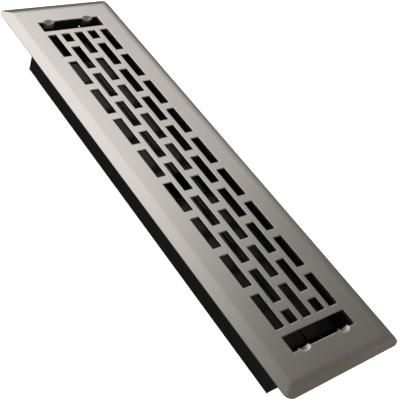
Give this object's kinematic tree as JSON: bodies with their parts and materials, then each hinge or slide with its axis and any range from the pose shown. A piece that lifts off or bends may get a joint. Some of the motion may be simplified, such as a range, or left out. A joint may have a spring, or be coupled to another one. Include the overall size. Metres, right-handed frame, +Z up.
{
  "type": "floor register",
  "caption": "Rectangular floor register: a bevelled faceplate with a brick pattern of slots over a sheet-metal damper box, whose louvers open and close with a lever.",
  "frame": {"origin": "middle of the damper box in plan, level with the bottom edges that it stands on", "axes": "+X along the register away from the lever, +Y across it, +Z up through the walking face"},
  "size_m": [0.3414, 0.0888, 0.0402],
  "materials": {
    "satin_nickel": "satin brushed nickel",
    "black_enamel": "satin black enamel",
    "louver_enamel": "semi-gloss black enamel",
    "zinc_plate": "bright zinc plate",
    "black_nylon": "moulded nylon"
  },
  "bodies": {
    "housing": {"faceplate": "satin_nickel", "box_side_left": "black_enamel", "box_side_right": "black_enamel", "end_cap_plain": "black_enamel", "end_cap_lever": "black_enamel", "centre_bracket": "black_enamel", "corner_rivets": "black_enamel", "bush_plain_left": "black_nylon", "bush_lever_left": "black_nylon", "bush_plain_right": "black_nylon", "bush_lever_right": "black_nylon"},
    "louver_left": {"wing_plain_left": "louver_enamel", "wing_lever_left": "louver_enamel", "shaft_left": "louver_enamel", "crank_left": "louver_enamel", "crank_pin_left": "louver_enamel"},
    "louver_right": {"wing_plain_right": "louver_enamel", "wing_lever_right": "louver_enamel", "shaft_right": "louver_enamel", "crank_right": "louver_enamel", "crank_pin_right": "louver_enamel"},
    "lever": {"lever_link": "zinc_plate"}
  },
  "joints": [
    {"name": "damper_turn", "type": "hinge", "parent": "housing", "child": "louver_left", "pos_m": [0, -0.0118, 0.02398], "axis": [-1, 0, 0], "range_deg": [0, 80]},
    {"name": "right_louver_turn", "type": "hinge", "parent": "housing", "child": "louver_right", "pos_m": [0, 0.0118, 0.02398], "axis": [-1, 0, 0], "range_deg": [0, 80]},
    {"name": "lever_pivot", "type": "hinge", "parent": "louver_left", "child": "lever", "pos_m": [-0.14413, -0.0047, 0.01552], "axis": [-1, 0, 0], "range_deg": [-80, 0]}
  ],
  "couplings": [
    {"joint": "right_louver_turn", "follows": "damper_turn", "ratio": 1},
    {"joint": "lever_pivot", "follows": "damper_turn", "ratio": -1}
  ]
}
